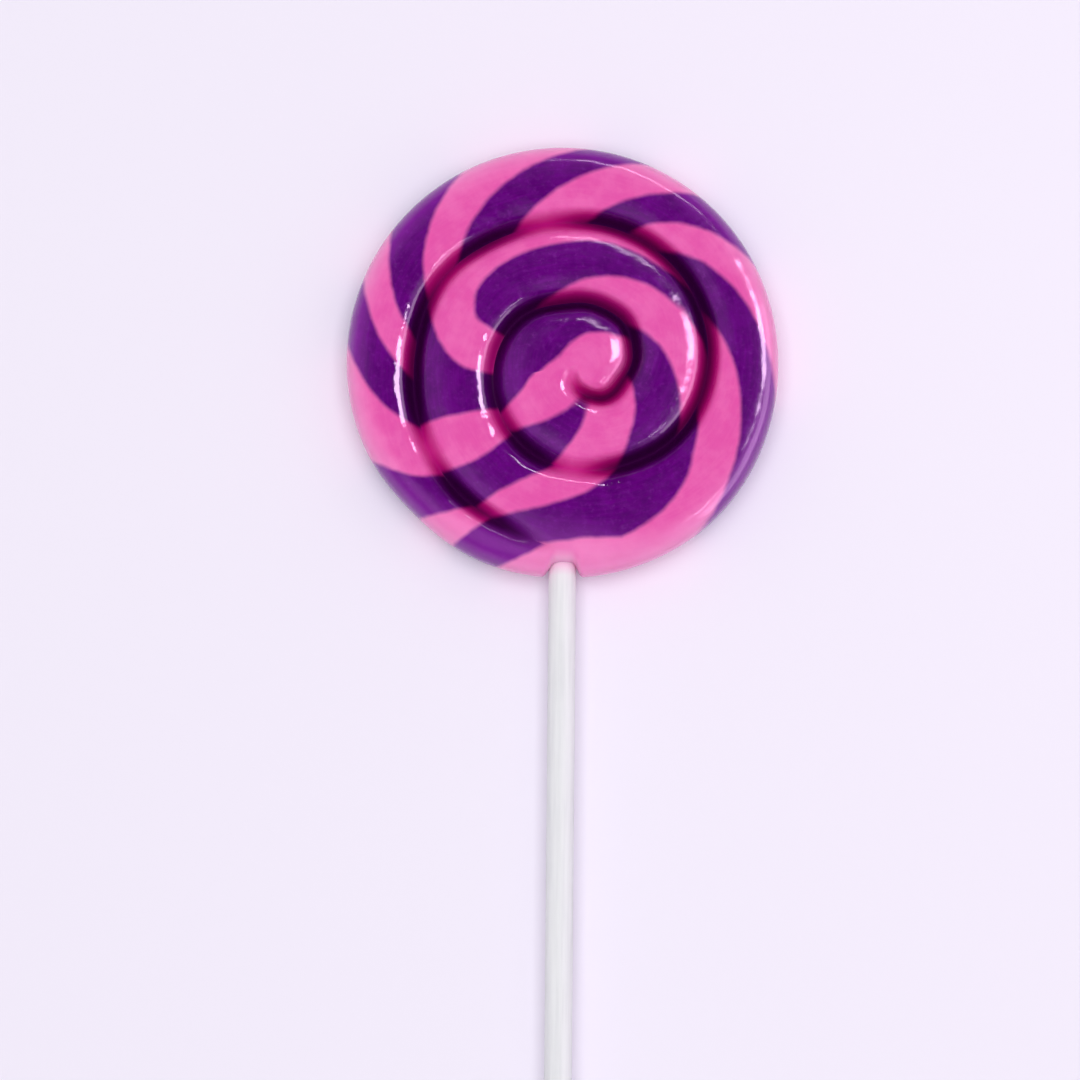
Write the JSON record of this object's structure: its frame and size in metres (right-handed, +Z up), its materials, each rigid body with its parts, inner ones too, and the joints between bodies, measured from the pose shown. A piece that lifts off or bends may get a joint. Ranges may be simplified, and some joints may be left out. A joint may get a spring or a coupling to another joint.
{
  "type": "swirl lollipop",
  "caption": "Round swirl lollipop lying flat: a twisted rope of glossy hard candy coiled into a thick disc, held on a straight white stick.",
  "frame": {"origin": "under the middle of the candy disc, on the surface that it lies on", "axes": "+Z up through the disc's shown face, +Y away from the stick, +X to the right of the shown face"},
  "size_m": [0.074, 0.197, 0.011],
  "materials": {
    "candy": "glossy translucent hard candy in pink with twisted deep purple stripes",
    "stick": "smooth off-white, slightly milky"
  },
  "bodies": {
    "root": {"candy": "candy", "stick": "stick"}
  },
  "joints": []
}
